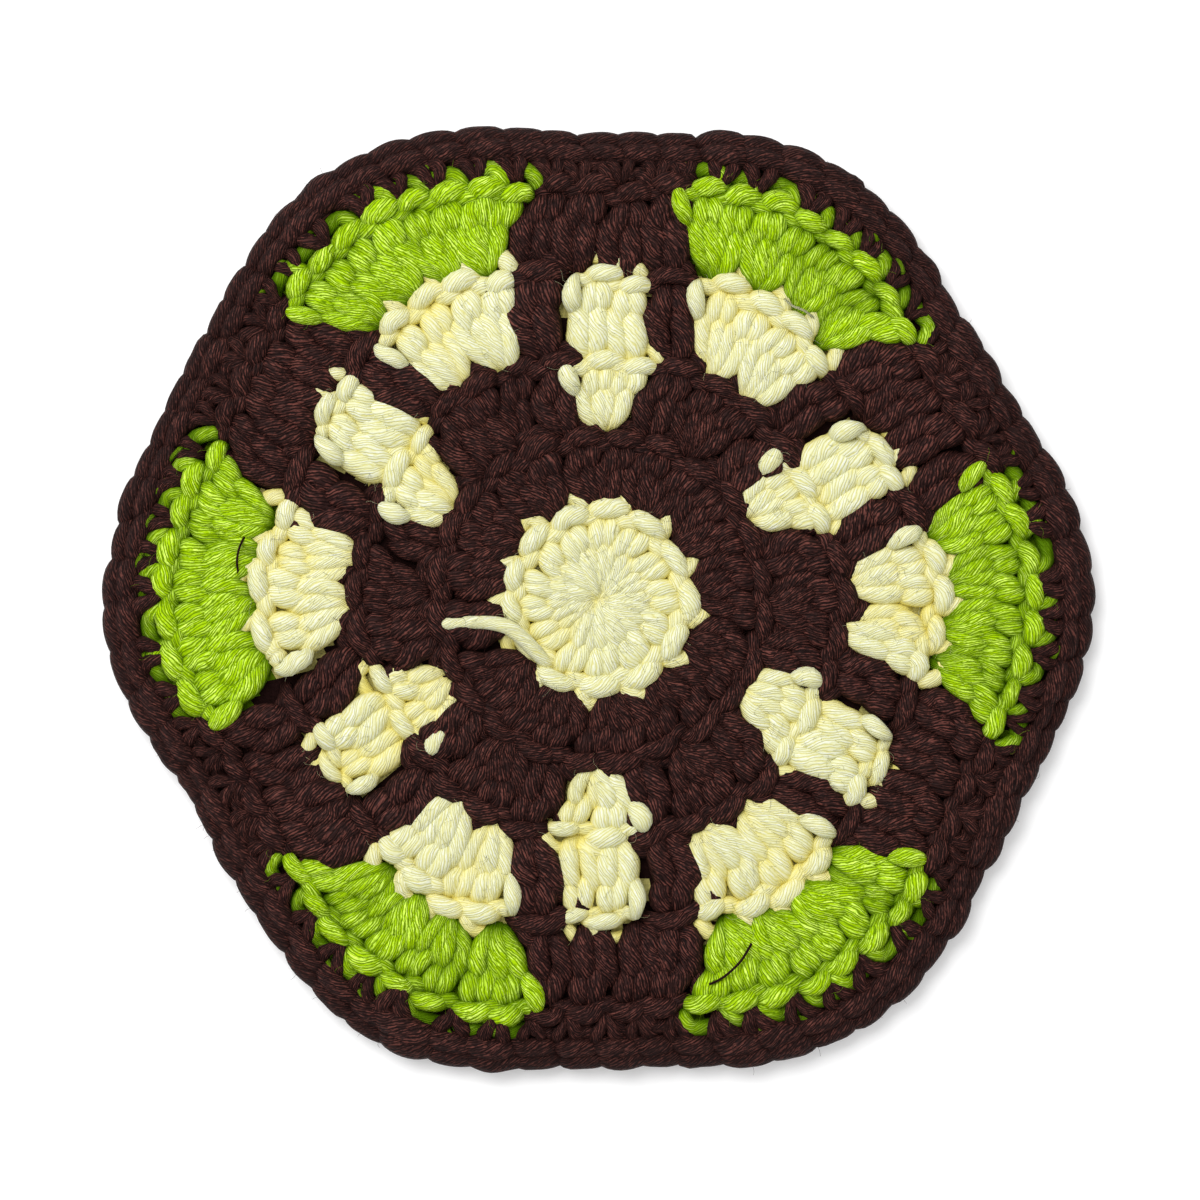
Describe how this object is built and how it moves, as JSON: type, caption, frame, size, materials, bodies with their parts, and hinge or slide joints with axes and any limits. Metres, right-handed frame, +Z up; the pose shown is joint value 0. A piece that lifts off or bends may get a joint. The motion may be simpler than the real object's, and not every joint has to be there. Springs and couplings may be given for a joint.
{
  "type": "crochet coaster",
  "caption": "Flat hexagonal crochet coaster with soft corners and a scalloped edging, worked in the round in dark brown, cream and green yarn.",
  "frame": {"origin": "centre of the coaster's bounding box, on its flat underside", "axes": "+X through two opposite corners, the widest way; +Y across two flat sides; +Z up out of the face that shows the pattern"},
  "size_m": [0.115, 0.1092, 0.0055],
  "materials": {
    "dark_yarn": "matte",
    "cream_yarn": "matte",
    "green_yarn": "matte"
  },
  "bodies": {
    "root": {"mat": "dark_yarn"}
  },
  "joints": []
}
